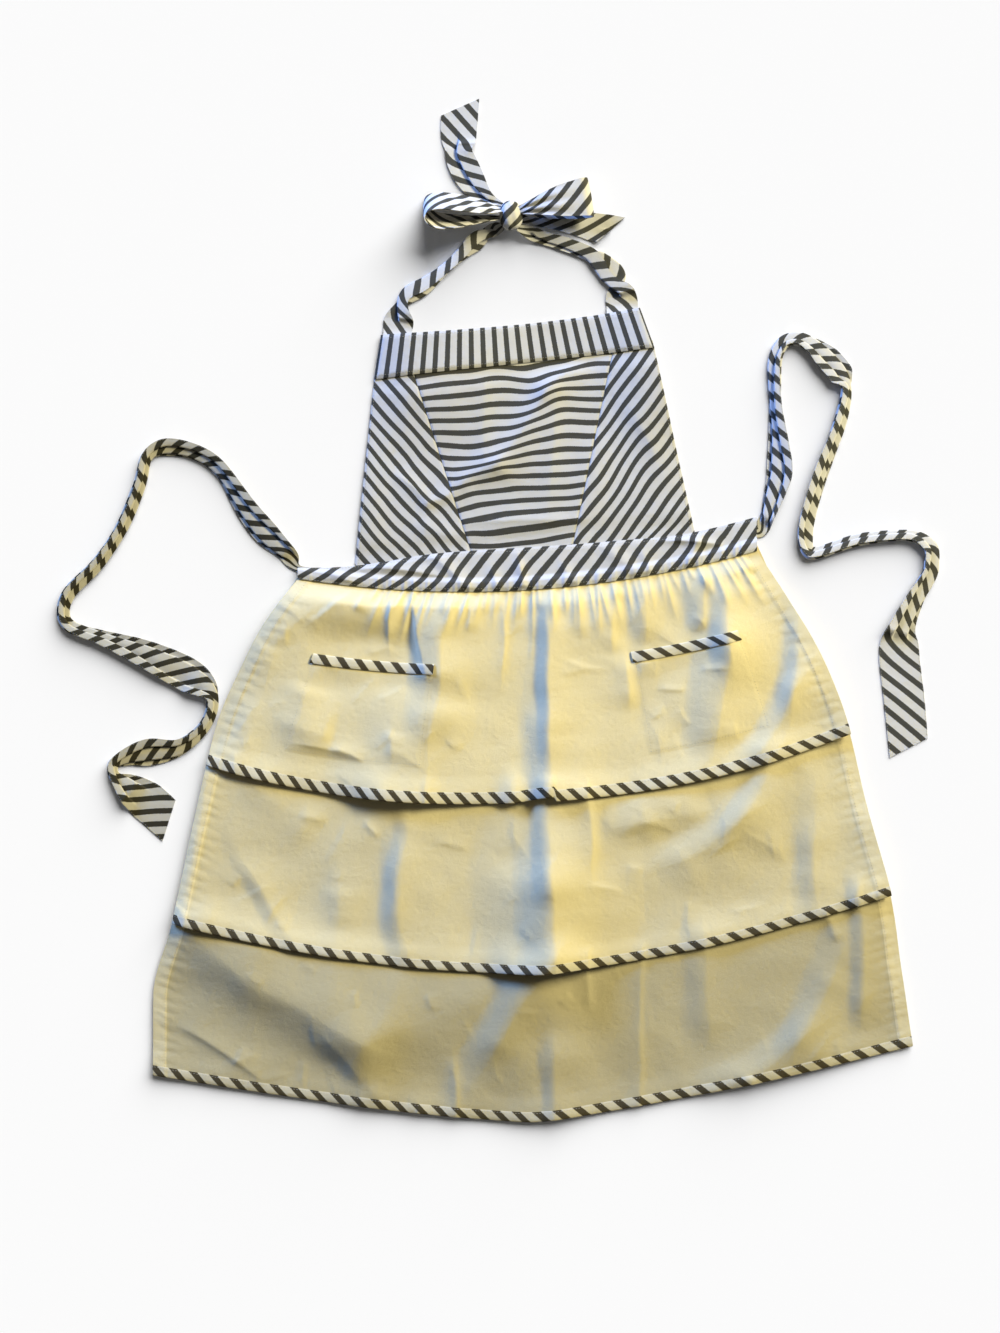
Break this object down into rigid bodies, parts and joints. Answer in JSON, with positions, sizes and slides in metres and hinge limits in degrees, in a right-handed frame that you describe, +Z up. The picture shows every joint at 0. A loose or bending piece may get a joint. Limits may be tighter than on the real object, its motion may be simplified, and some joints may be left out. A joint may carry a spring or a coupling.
{
  "type": "pinafore apron",
  "caption": "Laid-out pinafore apron with a tiered butter-yellow skirt, patch pockets, striped bib and waistband, neck straps tied in a bow and long waist ties.",
  "frame": {"origin": "on the table under the middle of the laid-out apron", "axes": "+Z up from the table, +Y from the skirt hem towards the neck bow, +X to the right of the picture"},
  "size_m": [0.95, 1.1045, 0.0394],
  "materials": {
    "yellow_cotton": "plain-weave butter-yellow cotton, crumpled",
    "striped_cotton": "woven cotton ticking, off-white with charcoal stripes of about 12.5 mm pitch"
  },
  "bodies": {
    "root": {"hem_binding_base": "striped_cotton", "hem_binding_middle": "striped_cotton", "hem_binding_top": "striped_cotton", "pocket_binding_left": "striped_cotton", "pocket_binding_right": "striped_cotton", "waistband": "striped_cotton", "bib_panel_left": "striped_cotton", "bib_panel_center": "striped_cotton", "bib_panel_right": "striped_cotton", "bib_top_band": "striped_cotton", "waist_tie_left": "striped_cotton", "waist_tie_right": "striped_cotton", "neck_tie_left": "striped_cotton", "neck_tie_right": "striped_cotton", "bow_tail_upper": "striped_cotton", "bow_tail_side": "striped_cotton", "bow_loop_left": "striped_cotton", "bow_loop_right": "striped_cotton", "bow_knot": "striped_cotton", "skirt_base": "yellow_cotton", "skirt_middle_tier": "yellow_cotton", "skirt_top_tier": "yellow_cotton", "pocket_left": "yellow_cotton", "pocket_right": "yellow_cotton"}
  },
  "joints": []
}
